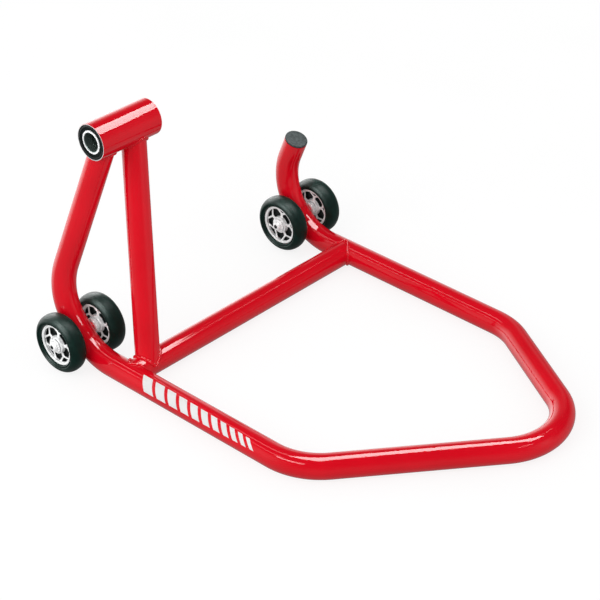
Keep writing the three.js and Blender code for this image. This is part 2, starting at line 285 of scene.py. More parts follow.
def turned(profile, facets=FINE, closed=True):
    """Points and faces of a profile of (radius, along) turned about the X axis.

    A radius may be a function of the angle. A profile that isn't closed runs from axis to axis.
    """
    verts, faces, rings = [], [], []
    for radius, along in profile:
        if not callable(radius) and radius <= 1e-6:
            rings.append([len(verts)])
            verts.append((along, 0, 0))
            continue
        ring = []
        for facet in range(facets):
            angle = TURN * facet / facets
            r = radius(angle) if callable(radius) else radius
            ring.append(len(verts))
            verts.append((along, r * math.cos(angle), r * math.sin(angle)))
        rings.append(ring)
    pairs = list(zip(rings, rings[1:]))
    if closed:
        pairs.append((rings[-1], rings[0]))
    for near, far in pairs:
        if len(near) == 1 and len(far) == 1:
            continue
        near, far = near * (facets // len(near)), far * (facets // len(far))
        for i in range(facets):
            j = (i + 1) % facets
            corners = (near[i], near[j], far[j], far[i])
            faces.append(tuple(dict.fromkeys(corners)))  # a triangle where one ring is a point
    return verts, faces


def joined(*shapes):
    """Several (points, faces) as one."""
    verts, faces = [], []
    for more_verts, more_faces in shapes:
        start = len(verts)
        verts += more_verts
        faces += [tuple(start + i for i in face) for face in more_faces]
    return verts, faces


def turned_mesh(name, points, fillet=0.4, facets=FINE, sharp=40, steps=4, closed=True):
    """A mesh of a section with rounded corners, turned about the X axis."""
    outline = rounded(points, fillet, closed=closed, steps=steps)
    return new_mesh(name, *turned(outline, facets, closed=closed), sharp=sharp)


def ring_profile(inner, outer, start, end):
    return [(inner, start), (outer, start), (outer, end), (inner, end)]


def mirrored(profile):
    """A profile's other half, in order, so that half + mirrored(half) is the whole of it."""
    return [(r, -along, *rest) for r, along, *rest in reversed(profile)]


def shifted(shape, along, flip=False):
    """A turned shape moved along X, turned end for end first if flip is set."""
    verts, faces = shape
    sign = -1 if flip else 1
    return [(sign * x + along, y, z) for x, y, z in verts], faces


# ---- tubes and welds ----


def bent_line(start, end, corners=()):
    """(point, heading) stations of a centre line through corners rounded at their bend radii."""
    points = [start, *(corner for corner, _ in corners), end]
    headings = [(b - a).normalized() for a, b in zip(points, points[1:])]
    stations = [(start, headings[0])]
    for (corner, bend_r), before, after in zip(corners, headings, headings[1:]):
        angle = before.angle(after)
        axis = before.cross(after).normalized()
        entry = corner - before * (bend_r * math.tan(angle / 2))
        centre = entry + axis.cross(before) * bend_r
        leave = corner + after * (bend_r * math.tan(angle / 2))
        steps = math.ceil(angle / BEND_STEP)
        stations.append((entry - before * BESIDE_BEND, before))
        for step in range(steps + 1):
            turn = Quaternion(axis, angle * step / steps)
            stations.append((centre + turn @ (entry - centre), turn @ before))
        stations.append((leave + after * BESIDE_BEND, after))
    stations.append((end, headings[-1]))
    return stations


NEAR_MISS = 1.0  # a line that passes this close, twice over, still counts as touching


class Round:
    """An endless cylinder that a tube's end is fitted to."""

    def __init__(self, point, axis, radius):
        self.point = point
        self.axis = axis.normalized()
        self.radius = radius

    def across(self, vector):
        return vector - self.axis * vector.dot(self.axis)

    def leave(self, point, heading):
        """How far along the heading a line from the point leaves the cylinder, or None."""
        p = self.across(point - self.point)
        h = self.across(heading)
        reach = self.radius**2 - p.length_squared + (p.dot(h) ** 2) / h.length_squared
        if reach < -NEAR_MISS * self.radius:
            return None
        return (-p.dot(h) / h.length_squared) + math.sqrt(max(reach, 0) / h.length_squared)

    def normal(self, point):
        return self.across(point - self.point).normalized()


def fitted(point, heading, cutters):
    """Where the line from the point leaves the last of the cutters, and that cutter."""
    reaches = [(cutter.leave(point, heading), cutter) for cutter in cutters]
    reach, cutter = max(((r, c) for r, c in reaches if r is not None), key=lambda pair: pair[0])
    return point + heading * reach, cutter


def section_directions(stations):
    """Pairs of directions across the centre line, carried along it without twisting."""
    heading = stations[0][1]
    side = heading.orthogonal().normalized()
    pairs = []
    for _, next_heading in stations:
        side = heading.rotation_difference(next_heading) @ side
        heading = next_heading
        pairs.append((side, heading.cross(side)))
    return pairs


def tube_shape(stations, start_cutters=(), end_cutters=()):
    """A hollow tube whose ends are fitted to what they meet, and the outer seam at each end.

    A seam is a list of (point, the tube's normal, the other surface's normal).
    """
    pairs = section_directions(stations)
    angles = [TURN * i / TUBE_SIDES for i in range(TUBE_SIDES)]
    last = len(stations) - 1
    skins, seams = [], {"start": [], "end": []}
    for radius in (TUBE_R, TUBE_R - TUBE_WALL):
        rings = []
        for index, ((point, heading), (side, other)) in enumerate(zip(stations, pairs)):
            ends = {0: ("start", heading, start_cutters), last: ("end", -heading, end_cutters)}
            end_name, inward, cutters = ends.get(index, (None, None, ()))
            ring = []
            for angle in angles:
                normal = side * math.cos(angle) + other * math.sin(angle)
                vertex = point + normal * radius
                if cutters:
                    vertex, cutter = fitted(vertex, inward, cutters)
                    if radius == TUBE_R:
                        seams[end_name].append((vertex, normal, cutter.normal(vertex)))
                ring.append(vertex)
            rings.append(ring)
        skins.append(rings)
    rings = skins[0] + skins[1][::-1]
    verts = [vertex for ring in rings for vertex in ring]
    return (verts, grid_faces(len(rings), TUBE_SIDES, wrap_rows=True)), seams


def evenly(seam, spacing):
    """A closed seam's stations taken again at even spacing."""
    count = len(seam)
    lengths = [(seam[(i + 1) % count][0] - seam[i][0]).length for i in range(count)]
    total = sum(lengths)
    fewest = 24
    steps = max(fewest, round(total / spacing))
    stations, index, passed = [], 0, 0.0
    for step in range(steps):
        wanted = total * step / steps
        while passed + lengths[index] < wanted:
            passed += lengths[index]
            index += 1
        share = (wanted - passed) / max(lengths[index], 1e-9)
        here, ahead = seam[index], seam[(index + 1) % count]
        stations.append(tuple(a.lerp(b, share) for a, b in zip(here, ahead)))
    return stations, total


def bead_shape(seam, size, ripple_length=3.6):
    """A weld bead along a closed seam, rippled like a row of overlapping coins."""
    per_ripple, fewest, sides = 6, 6, 14
    stations, total = evenly(seam, ripple_length / per_ripple)
    ripples = max(fewest, round(total / ripple_length))
    verts = []
    for index, (point, tube_normal, other_normal) in enumerate(stations):
        outward = (tube_normal + other_normal).normalized()
        ahead = stations[(index + 1) % len(stations)][0] - stations[index - 1][0]
        across = ahead.normalized().cross(outward).normalized()
        wander = noise.noise(point * 0.16) * 0.3 * size
        for side in range(sides):
            angle = TURN * side / sides
            lag = 0.3 * (1 - math.cos(angle))
            phase = ripples * index / len(stations) - lag
            crown = abs(math.sin(math.pi * phase)) ** 0.7
            radius = size * (0.8 + 0.26 * crown) + wander
            direction = outward * math.cos(angle) + across * math.sin(angle)
            vertex = point + outward * (0.08 * size) + direction * radius
            vertex.z = max(vertex.z, FIT)
            verts.append(vertex)
    return verts, grid_faces(len(stations), sides, wrap_rows=True)


# ---- materials ----


class Nodes:
    """A node tree, with a short way to add a node to it."""

    def __init__(self, tree):
        self.tree = tree

    def node(self, kind, inputs=None, **settings):
        made = self.tree.nodes.new("ShaderNode" + kind)
        for key, value in settings.items():
            setattr(made, key, value)
        for key, value in (inputs or {}).items():
            if isinstance(value, bpy.types.NodeSocket):
                self.tree.links.new(value, made.inputs[key])
            else:
                made.inputs[key].default_value = value
        return made


class Shader(Nodes):
    """A Principled material, patterned in the object's own coordinates."""

    def __init__(self, name, **values):
        self.material = bpy.data.materials.new(name)
        self.material.use_nodes = True
        super().__init__(self.material.node_tree)
        self.principled = self.tree.nodes["Principled BSDF"]
        for socket, value in values.items():
            self.principled.inputs[socket.replace("_", " ")].default_value = value
        self.place = self.node("TexCoord").outputs["Object"]

    def noise(self, per_metre, detail=2.0, stretch=None):
        where = self.place
        if stretch:
            where = self.node("Mapping", {"Vector": where, "Scale": stretch}).outputs["Vector"]
        inputs = {"Vector": where, "Scale": per_metre, "Detail": detail}
        return self.node("TexNoise", inputs).outputs["Fac"]

    def ramp(self, factor, low, high, start=0.3, end=0.7):
        """A value or a colour that goes from low to high over a stretch of the factor."""
        made = self.node("ValToRGB", {"Fac": factor})
        for element, position, value in zip(made.color_ramp.elements, (start, end), (low, high)):
            element.position = position
            element.color = value if hasattr(value, "__len__") else (value, value, value, 1)
        return made.outputs["Color"]

    def bump(self, height, depth_mm, normal=None):
        inputs = {"Height": height, "Strength": 1.0, "Distance": depth_mm * MM}
        if normal:
            inputs["Normal"] = normal
        return self.node("Bump", inputs).outputs["Normal"]

    def feed(self, socket, value):
        self.tree.links.new(value, self.principled.inputs[socket])


def red_paint(name, fine_depth, wave_depth):
    """Gloss powder coat: saturated red, with the faint waviness of a sprayed coat."""
    shader = Shader(name, Metallic=0.0, Specular_IOR_Level=0.5)
    tone = shader.ramp(
        shader.noise(9, detail=3), (0.76, 0.0022, 0.0125, 1), (0.84, 0.0032, 0.0155, 1), 0.35, 0.65
    )
    shader.feed("Base Color", tone)
    shader.feed("Roughness", shader.ramp(shader.noise(60, detail=4), 0.045, 0.085))
    fine = shader.bump(shader.noise(420, detail=2), fine_depth)
    shader.feed("Normal", shader.bump(shader.noise(70, detail=1), wave_depth, fine))
    return shader.material


def metal(name, color, low, high, metallic=1.0, scratch=(1, 1, 1), per_metre=300, depth=0.01):
    """A metal whose roughness varies, with fine marks stretched the way it was worked.

    A metallic share below 1 stands for a finish that also scatters light, such as cast or plated metal.
    """
    shader = Shader(name, Metallic=metallic)
    darker = tuple(0.86 * c for c in color) + (1,)
    shader.feed("Base Color", shader.ramp(shader.noise(45, detail=4), darker, (*color, 1)))
    marks = shader.noise(per_metre, detail=4, stretch=scratch)
    shader.feed("Roughness", shader.ramp(marks, low, high))
    shader.feed("Normal", shader.bump(marks, depth))
    return shader.material


def rubber(name, color, low, high, specular=0.5, tone=(30, 1.35), per_metre=700, depth=0.02):
    """Dark, satin rubber or plastic with a fine grain. tone is (patches per metre, contrast)."""
    shader = Shader(name, Metallic=0.0, Specular_IOR_Level=specular)
    patches, contrast = tone
    lighter = tuple(contrast * c for c in color) + (1,)
    shader.feed("Base Color", shader.ramp(shader.noise(patches, detail=4), (*color, 1), lighter))
    shader.feed("Roughness", shader.ramp(shader.noise(90, detail=4), low, high))
    shader.feed("Normal", shader.bump(shader.noise(per_metre, detail=3), depth))
    return shader.material


def decal_vinyl():
    shader = Shader("white_vinyl", Metallic=0.0)
    shader.feed("Base Color", shader.ramp(shader.noise(40), 0.86, 0.93))
    shader.feed("Roughness", shader.ramp(shader.noise(120), 0.16, 0.26))
    shader.feed("Normal", shader.bump(shader.noise(300), 0.01))
    return shader.material


RED = red_paint("red_powder_coat", 0.006, 0.03)
RED_WELD = red_paint("red_coat_on_weld", 0.7, 0.03)
POLISHED = metal("ground_steel", (0.92, 0.92, 0.93), 0.2, 0.34, metallic=0.2, scratch=(6, 1, 1))
MACHINED = metal("machined_steel", (0.92, 0.92, 0.92), 0.25, 0.4, metallic=0.2)
# Steel coloured near black as painted shade, for the sleeve's seats and mouths, the hub bearings' outer
# rings and the bolts' sockets.
STEEL_DARK_AS_SHADE = metal("blackened_steel", (0.012, 0.016, 0.016), 0.22, 0.36, metallic=0.3)
# Darker reflective steel as painted shade inside the bore, for the inner rings' bores and the spacer
# within.
BORE_STEEL_DARK_AS_SHADE = metal("bored_steel", (0.2, 0.26, 0.24), 0.16, 0.28, metallic=0.8, scratch=(6, 1, 1))
ZINC = metal("zinc_plate", (0.92, 0.92, 0.92), 0.22, 0.36, metallic=0.25, per_metre=500)
ALUMINIUM = metal(
    "cast_aluminium", (0.9, 0.91, 0.91), 0.26, 0.42, metallic=0.25, per_metre=900, depth=0.02
)
# Black for the rim's web and deep walls: partly a two-tone finish, partly painted shade in the recesses.
BLACK_WEB_AND_RECESS_SHADE = rubber("black_web", (0.006, 0.008, 0.008), 0.35, 0.5, specular=0.3)
TYRE = rubber("tyre_rubber", (0.001, 0.013, 0.0095), 0.34, 0.46, specular=0.16, tone=(60, 1.6))
SEAL = rubber("seal_rubber", (0.002, 0.006, 0.005), 0.35, 0.5, specular=0.12)
CAP = rubber(
    "cap_plastic", (0.022, 0.03, 0.03), 0.45, 0.62, specular=0.3, tone=(260, 3.6), per_metre=600,
    depth=0.3,
)
VINYL = decal_vinyl()

# ---- frame tubes ----


def on_hook(side, z):
    """A point at a height on a hook's sloping run, which passes through the axle line."""
    return place(side * track / 2, (z - axle_z) / math.tan(HOOK_SLOPE), z)


def front_corner(side):
    return place(side * (track / 2 - FRONT_CORNER_INSET), FRONT_CORNER_Y, TUBE_R)


def at_sleeve(x):
    return Vector((origin.x + x, sleeve_centre.y, sleeve_centre.z))


stub_corner = on_hook(RIGHT, RIGHT_HOOK_TOP_Z)
stub_heading = Vector((0, -math.sin(STUB_LEAN), math.cos(STUB_LEAN)))
stub_end = stub_corner + stub_heading * STUB_LENGTH
main_line = bent_line(
    at_sleeve(UPRIGHT_TOP_X),
    stub_end,
    [
        (on_hook(LEFT, LEFT_HOOK_TOP_Z), HOOK_BEND_R),
        (on_hook(LEFT, TUBE_R), HOOK_BEND_R),
        (front_corner(LEFT), LOOP_BEND_R),
        (place(HANDLE_X, HANDLE_Y, TUBE_R), LOOP_BEND_R),
        (front_corner(RIGHT), LOOP_BEND_R),
        (on_hook(RIGHT, TUBE_R), HOOK_BEND_R),
        (stub_corner, HOOK_BEND_R),
    ],
)
BITE = 0.15  # how far a fitted end reaches into the surface that it meets
sleeve_round = Round(sleeve_centre, X_AXIS, sleeve_r - BITE)
run_rounds = {
    side: Round(on_hook(side, TUBE_R), front_corner(side) - on_hook(side, TUBE_R), TUBE_R - BITE)
    for side in (LEFT, RIGHT)
}
crossbar_ends = [Vector((origin.x + side * track / 2, crossbar_y, TUBE_R)) for side in (LEFT, RIGHT)]
crossbar_round = Round(crossbar_ends[0], X_AXIS, TUBE_R - BITE)


def add_tubes():
    """The bent main tube, the crossbar and the brace, each with the welds that hold it."""
    main, main_seams = tube_shape(main_line, start_cutters=[sleeve_round])
    crossbar, crossbar_seams = tube_shape(
        bent_line(*crossbar_ends), [run_rounds[LEFT]], [run_rounds[RIGHT]]
    )
    brace_foot = crossbar_ends[0] + Vector((BRACE_FOOT_INSET, 0, 0))
    brace, brace_seams = tube_shape(
        bent_line(brace_foot, at_sleeve(BRACE_TOP_X)), [crossbar_round, run_rounds[LEFT]], [sleeve_round]
    )
    for name, node, shape in (
        ("frame_tube", "main_tube", main),
        ("crossbar_tube", "crossbar", crossbar),
        ("brace", "brace_tube", brace),
    ):
        add_piece(name, new_mesh(name, *shape), [RED], "frame", [node])
    for name, seam, size in (
        ("upright_top_weld", main_seams["start"], 2.6),
        ("brace_top_weld", brace_seams["end"], 2.6),
        ("brace_foot_weld", brace_seams["start"], 3.0),
        ("crossbar_left_weld", crossbar_seams["start"], 2.8),
        ("crossbar_right_weld", crossbar_seams["end"], 2.8),
    ):
        add_weld(name, bead_shape(seam, size))


def add_weld(name, shape):
    add_piece(name, new_mesh(name, *shape, sharp=80), [RED_WELD], "frame", [])


def add_end_cap():
    """The plug in the open end: a domed, grained head on a ribbed shank."""
    bore = TUBE_R - TUBE_WALL
    shank_r = bore - 1.2
    head = [(0, 4.8, 0), (10, 4.7, 6), (18.4, 4.2, 1.5), (19.9, 3.0, 0.8), (19.9, 1.4, 0.3),
            (19.0, 0.9, 0.2), (19.0, 0.1, 0.1)]
    shank = [(shank_r, 0.1, 0.3), (shank_r, -4), (bore - 0.3, -4.6), (shank_r, -5.6), (shank_r, -9),
             (bore - 0.3, -9.6), (shank_r, -10.6), (bore - 2, -16), (bore - 4, -16), (bore - 4, 0.6),
             (0, 0.6)]
    mesh = turned_mesh("end_cap", head + shank, 0.3, closed=False)
    turn = X_AXIS.rotation_difference(stub_heading).to_matrix().to_4x4()
    add_piece("end_cap", mesh, [CAP], "frame", ["stub_end_cap"], at(stub_end) @ turn)


def add_sleeve():
    """The bearing sleeve: red outside, machined bare at its ends, seats dark as painted shade."""
    shoulder_r = HUB_SEAT_R - 3
    mouth_r = HUB_SEAT_R + 1
    half = [(shoulder_r, hub_shoulder, 0.3), (HUB_SEAT_R, hub_shoulder, 0.1),
            (HUB_SEAT_R, sleeve_half - 0.8, 0.2), (mouth_r, sleeve_half, 0.15),
            (sleeve_r, sleeve_half, 0.6)]
    # Faces inside the mouth take the dark steel as painted shade; the end face is machined steel, the
    # outside red.
    mesh = paint(
        turned_mesh("sleeve", half + mirrored(half), facets=2 * FINE),
        (RED, MACHINED, STEEL_DARK_AS_SHADE),
        lambda radius, _: 2 if radius < mouth_r else int(radius < sleeve_r - 0.3),
    )
    add_piece("sleeve", mesh, [], "frame", ["bearing_sleeve"], at(sleeve_centre))


# ---- hub bearings ----


def race_profile(wall_r, track_r, back_r):
    """A bearing ring's section, with a round track for the balls."""
    middle = HUB_BEARING_WIDTH / 2
    depth = abs(track_r - wall_r)
    track_half = math.sqrt(HUB_BALL_R**2 - (HUB_BALL_R - depth) ** 2)
    sign = 1 if track_r > wall_r else -1
    points = [(back_r, 0, 1.2), (back_r, HUB_BEARING_WIDTH, 1.2), (wall_r, HUB_BEARING_WIDTH, 0.3)]
    for step in range(9):
        along = track_half * (1 - step / 4)
        sag = math.sqrt(HUB_BALL_R**2 - along**2) - (HUB_BALL_R - depth)
        points.append((wall_r + sign * sag, middle + along, 0))
    return [*points, (wall_r, 0, 0.3)]


def ball_row_shape():
    """The balls and the ribbon cage between a bearing's rings."""
    middle = HUB_BEARING_WIDTH / 2
    pitch_r = (HUB_BORE_R + HUB_SEAT_R) / 2
    thick, wide = 0.8, 1.3  # half of the cage's ribbon
    section = ring_profile(pitch_r - thick, pitch_r + thick, middle - wide, middle + wide)
    cage = turned(rounded(section, 0.3))
    steps = 16
    arc = [math.pi * i / steps for i in range(steps + 1)]
    profile = [(HUB_BALL_R * math.sin(a), -HUB_BALL_R * math.cos(a)) for a in arc]
    ball_verts, ball_faces = turned(profile, 24, closed=False)
    balls = []
    for index in range(HUB_BALLS):
        turn = Matrix.Rotation(TURN * index / HUB_BALLS, 3, "X")
        centre = turn @ Vector((middle, pitch_r, 0))
        balls.append(([Vector(v) + centre for v in ball_verts], ball_faces))
    return joined(cage, *balls)


def seal_shape(start):
    """A lipped rubber seal with a step and a groove in its face."""
    inner, outer = HUB_INNER_R + 0.4, HUB_OUTER_R - FIT
    end = start + SEAL_THICKNESS
    points = [(inner, start), (outer, start), (outer, end), (outer - 0.9, end),
              (outer - 1.1, end - 0.35), (outer - 1.7, end - 0.35), (outer - 1.9, end),
              (inner + 1.3, end), (inner + 1.1, end - 0.3), (inner, end - 0.3)]
    return turned(rounded(points, 0.12, steps=2))


def add_hub():
    section = ring_profile(HUB_BORE_R, HUB_BORE_R + 3, -hub_shoulder, hub_shoulder)
    # The spacer deep in the bore is the darker steel, as painted shade.
    add_piece("hub_spacer", turned_mesh("hub_spacer", section), [BORE_STEEL_DARK_AS_SHADE], "hub", ["hub_bearing_spacer"],
              at(sleeve_centre))
    outer = turned(rounded(race_profile(HUB_OUTER_R, HUB_OUTER_R + 0.7, HUB_SEAT_R - FIT), 0.3))
    inner = turned(rounded(race_profile(HUB_INNER_R, HUB_INNER_R - 1.9, HUB_BORE_R), 0.3))
    outward_seal = seal_shape(HUB_BEARING_WIDTH - SEAL_INSET - SEAL_THICKNESS)
    inward_seal = shifted(seal_shape(0), SEAL_INSET + SEAL_THICKNESS, flip=True)
    for side_name, side in (("left", LEFT), ("right", RIGHT)):
        # The outer rings take the dark steel as painted shade; the inner rings stay bright.
        rows = (
            ("outer_ring", outer, STEEL_DARK_AS_SHADE, "frame", "bearing_outer_ring", "bearing_steel"),
            ("inner_ring", inner, POLISHED, "hub", "bearing_inner_ring", "bearing_steel"),
            ("balls", ball_row_shape(), POLISHED, f"hub_{side_name}_cage", "ball_cage", "bearing_steel"),
            ("outward_seal_fine", outward_seal, SEAL, "frame", "outward_seal", "seal_rubber"),
            ("inward_seal_fine", inward_seal, SEAL, "frame", "inward_seal", "seal_rubber"),
        )
        for what, shape, material, body, node, slot in rows:
            name = f"hub_{side_name}_{what}"
            placed = shifted(shape, side * (hub_shoulder + FIT), flip=side < 0)
            mesh = new_mesh(name, *placed, sharp=30)
            if what == "inner_ring":
                # The bore faces of the inner ring take the darker steel as painted shade.
                paint(mesh, (POLISHED, BORE_STEEL_DARK_AS_SHADE), lambda radius, _: int(radius < HUB_BORE_R + 1.2))
            add_piece(name, mesh, [material], body, [f"hub_{side_name}_{node}"], at(sleeve_centre))


# ---- wheels ----


def tyre_mesh():
    """A moulded tyre: round crown, bulging wall, a groove and a bead lip beside the rim."""
    crown = [(49.86, 3.2), (49.3, 6.4), (48.1, 9.4), (46.2, 12.2), (44.2, 14.1), (42.4, 15.3),
             (40.8, 15.8), (39.6, 15.5)]
    lip = [(39.0, 14.6, 0.3), (38.4, 13.2, 0.4), (37.6, 13.0, 0.4), (37.1, 14.0, 0.3),
           (36.4, 14.2, 0.3), (35.7, 13.2, 0.4), (35.2, 11.6, 0.3), (RIM_R + 0.1, RIM_HALF_WIDTH, 0)]
    half = [(r, along, 2.0) for r, along in crown] + lip
    seam = [(50, 0.55, 0.1), (50.1, 0.18, 0.05)]
    profile = [*mirrored(half), *mirrored(seam), *seam, *half]
    return turned_mesh("tyre", profile, 0.5, 2 * FINE, sharp=50, steps=3)


def spoke_outline():
    """A Y-shaped spoke's outline in the wheel's plane, its stem along the first axis."""
    fork = Vector((SPOKE_FORK_R, 0))
    rim_end = Vector((math.cos(SPOKE_SPREAD), math.sin(SPOKE_SPREAD))) * (RIM_BARREL_INNER_R + 1.5)
    arm = (rim_end - fork).normalized()
    out = Vector((-arm.y, arm.x))
    outer_start = fork + out * (ARM_WIDTH / 2)
    inner_start = fork - out * (ARM_WIDTH / 2)

    def along(start, radius):
        """Where the arm's side that passes through the start meets a circle."""
        run = -start.dot(arm) + math.sqrt(start.dot(arm) ** 2 - start.length_squared + radius**2)
        return start + arm * run

    def beside_axis(start, offset):
        return start + arm * ((offset - start.y) / arm.y)

    flare = 1.1
    half_stem = STEM_WIDTH / 2
    flare_r, end_r = RIM_BARREL_INNER_R - 1.6, RIM_BARREL_INNER_R + 1.2
    half = [
        (WHEEL_HUB_R - 1, half_stem + 0.6, 0),
        (WHEEL_HUB_R + 1.2, half_stem, 1.0),
        (*beside_axis(outer_start, half_stem), 2.0),
        (*along(outer_start, flare_r), 1.0),
        (*(along(outer_start, end_r) + out * flare), 0),
        (*(along(inner_start, end_r) - out * flare), 0),
        (*along(inner_start, flare_r), 1.0),
    ]
    notch = (*beside_axis(inner_start, 0), 0.8)
    return rounded(half + [notch] + [(x, -y, fillet) for x, y, fillet in reversed(half)], steps=5)


def spokes_shape():
    """All the spokes: one flat Y with rounded edges, repeated round the hub."""
    edge = 0.9
    curve = bpy.data.curves.new("spoke", "CURVE")
    curve.dimensions = "2D"
    curve.fill_mode = "BOTH"
    curve.bevel_depth = edge * MM
    curve.bevel_resolution = 3
    curve.offset = -edge * MM
    curve.extrude = (SPOKE_HALF_DEPTH - edge) * MM
    outline = spoke_outline()
    spline = curve.splines.new("POLY")
    spline.points.add(len(outline) - 1)
    spline.use_cyclic_u = True
    for point, where in zip(spline.points, outline):
        point.co = (where.x * MM, where.y * MM, 0, 1)
    maker = add_object("spoke", curve)
    made = maker.evaluated_get(bpy.context.evaluated_depsgraph_get()).to_mesh()
    solid = bmesh.new()
    solid.from_mesh(made)
    bmesh.ops.remove_doubles(solid, verts=solid.verts, dist=1e-7)
    verts = [Vector((v.co.z, v.co.x, v.co.y)) / MM for v in solid.verts]
    faces = [tuple(vertex.index for vertex in face.verts) for face in solid.faces]
    solid.free()
    bpy.data.objects.remove(maker)
    spokes = []
    for index in range(SPOKES):
        turn = Matrix.Rotation(FIRST_SPOKE + TURN * index / SPOKES, 3, "X")
        spokes.append(([turn @ vert for vert in verts], faces))
    return joined(*spokes)


def rim_mesh():
    """A cast rim: barrel with rolled lips, bored hub, and the spokes on both faces of a closed web."""
    lip = [(RIM_BARREL_INNER_R, RECESS_HALF, 0), (RIM_BARREL_INNER_R, 8.2, 0.6),
           (RIM_LIP_INNER_R, 9.2, 0.5), (RIM_LIP_INNER_R, RIM_HALF_WIDTH, 0.5),
           (RIM_R - 0.6, RIM_HALF_WIDTH + 0.5, 0.8), (RIM_R, RIM_HALF_WIDTH - 0.4, 0.5), (RIM_R, 2, 0)]
    barrel = turned(rounded(mirrored(lip) + lip, 0.4), 2 * FINE)
    seat_r = WHEEL_BEARING_SEAT_R
    shoulder = WHEEL_HUB_HALF_WIDTH - WHEEL_BEARING_WIDTH - FIT
    hub_half = [(seat_r - 2.5, shoulder, 0.2), (seat_r, shoulder, 0.1),
                (seat_r, WHEEL_HUB_HALF_WIDTH, 0.4), (WHEEL_HUB_R - 0.9, WHEEL_HUB_HALF_WIDTH, 0.6),
                (WHEEL_HUB_R, RECESS_HALF, 0)]
    hub = turned(rounded(hub_half + mirrored(hub_half), 0.3), FINE)
    web_profile = ring_profile(WHEEL_HUB_R - 1, RIM_BARREL_INNER_R + 1, -WEB_HALF, WEB_HALF)
    web = turned(rounded(web_profile, 0.1), FINE)

    # The web and the deep walls of spokes, barrel and hub are black, partly as painted shade in the
    # recesses.
    def in_black_shaded_recess(radius, along):
        return int(WHEEL_HUB_R - 1 < radius < RIM_R - 2 and abs(along) < RECESS_HALF - 0.1)

    mesh = new_mesh("rim", *joined(web, barrel, hub, spokes_shape()), sharp=35)
    return paint(mesh, (ALUMINIUM, BLACK_WEB_AND_RECESS_SHADE), in_black_shaded_recess)


def shielded_outer_ring_mesh():
    back = WHEEL_BEARING_SEAT_R - FIT
    lip = WHEEL_BEARING_INNER_R + 0.5
    width = WHEEL_BEARING_WIDTH
    race = WHEEL_RACE_R
    points = [(back, 0, 0.5), (back, width, 0.5), (race + 0.4, width, 0.1),
              (race + 0.3, width - 0.25, 0.1), (lip, width - 0.25, 0.2), (lip, width - 0.8, 0.1),
              (race, width - 0.8), (race, 0.8), (lip, 0.8, 0.1), (lip, 0, 0.2)]
    return turned_mesh("wheel_bearing_outer_ring", points, 0.1, SMALL, sharp=30, steps=3)


def ring_mesh(name, inner, outer, start, end, fillet=0.4):
    section = ring_profile(inner, outer, start, end)
    return turned_mesh(name, section, fillet, SMALL, sharp=30, steps=3)


def add_wheels():
    tyre = tyre_mesh()
    rim = rim_mesh()
    outer_ring = shielded_outer_ring_mesh()
    inner_ring = ring_mesh("wheel_bearing_inner_ring", WHEEL_BEARING_BORE_R, WHEEL_BEARING_INNER_R, 0,
                           WHEEL_BEARING_WIDTH)
    shoulder = WHEEL_HUB_HALF_WIDTH - WHEEL_BEARING_WIDTH
    spacer = ring_mesh("wheel_bearing_spacer_tube", WHEEL_BEARING_BORE_R, WHEEL_BEARING_INNER_R - 1,
                       FIT - shoulder, shoulder - FIT, 0.2)
    for wheel, centre in wheel_centres.items():
        for what, mesh, material, node, slot in (
            ("moulded_tyre", tyre, TYRE, "tyre", "tyre_rubber"),
            ("cast_rim", rim, ALUMINIUM, "rim", "cast_aluminium"),
            ("inner_tube_spacer", spacer, ZINC, "bearing_spacer", "zinc_plate"),
        ):
            add_piece(f"{wheel}_{what}", mesh, [material], wheel, [f"{wheel}_{node}"], at(centre))
        towards_tube = 1 if centre.x < axle_centres[wheel.split("_")[0]].x else -1
        for where, side in (("near", towards_tube), ("far", -towards_tube)):
            home = at(centre + X_AXIS * (side * shoulder))
            if side < 0:
                home = home @ END_FOR_END
            bearing = f"{wheel}_{where}_bearing"
            for what, mesh, node in (
                ("shielded_race", outer_ring, "outer_ring"),
                ("inner_race", inner_ring, "inner_ring"),
            ):
                add_piece(f"{bearing}_{what}", mesh, [POLISHED], wheel, [f"{bearing}_{node}"],
                          home)


# ---- axles ----


def polygon_radius(across, corners=6, most=math.inf):
    """The radius at an angle of a polygon measured across its flats, cut off by a circle."""

    def radius(angle):
        from_flat = (angle + math.pi / corners) % (TURN / corners) - math.pi / corners
        return min(across / 2 / math.cos(from_flat), most)

    return radius


def bolt_mesh(head_seat, tip):
    """A button-head bolt along X, its head at the negative end, with a hexagon socket and a thread."""
    top = head_seat - BOLT_HEAD_HEIGHT
    socket = polygon_radius(HEX_SOCKET_ACROSS)
    floor = top + HEX_SOCKET_DEPTH
    rows = [(0, floor + 0.9), (socket, floor), (socket, top + 0.35),
            (polygon_radius(HEX_SOCKET_ACROSS + 0.8), top)]
    dome = [(4.6, top, 0.4), (6.9, top + 1.0, 1.5), (8.3, top + 2.9, 1.5), (8.75, top + 4.6, 0.5),
            (8.75, head_seat, 0.3), (BOLT_R, head_seat, 0)]
    rows += [tuple(p) for p in rounded(dome, closed=False)]
    rows.append((BOLT_R, tip - 16))

    def thread(along):
        fade = min(1, (tip - along) / 1.5)

        def radius(angle):
            phase = (along / THREAD_PITCH - angle / TURN) % 1
            return BOLT_R - THREAD_DEPTH * abs(2 * phase - 1) - 0.6 * (1 - fade)

        return radius

    steps = 72
    for step in range(steps + 1):
        along = tip - 15 + 14.8 * step / steps
        rows.append((thread(along), along))
    rows += [(BOLT_R - 1.6, tip), (0, tip)]

    # The socket's faces take the dark steel as painted shade in the recess.
    def in_shaded_socket(radius, along):
        return int(radius < HEX_SOCKET_ACROSS / 2 + 0.6 and along < head_seat)

    mesh = new_mesh("axle_bolt_fine", *turned(rows, SMALL, closed=False), sharp=35)
    return paint(mesh, (ZINC, STEEL_DARK_AS_SHADE), in_shaded_socket)


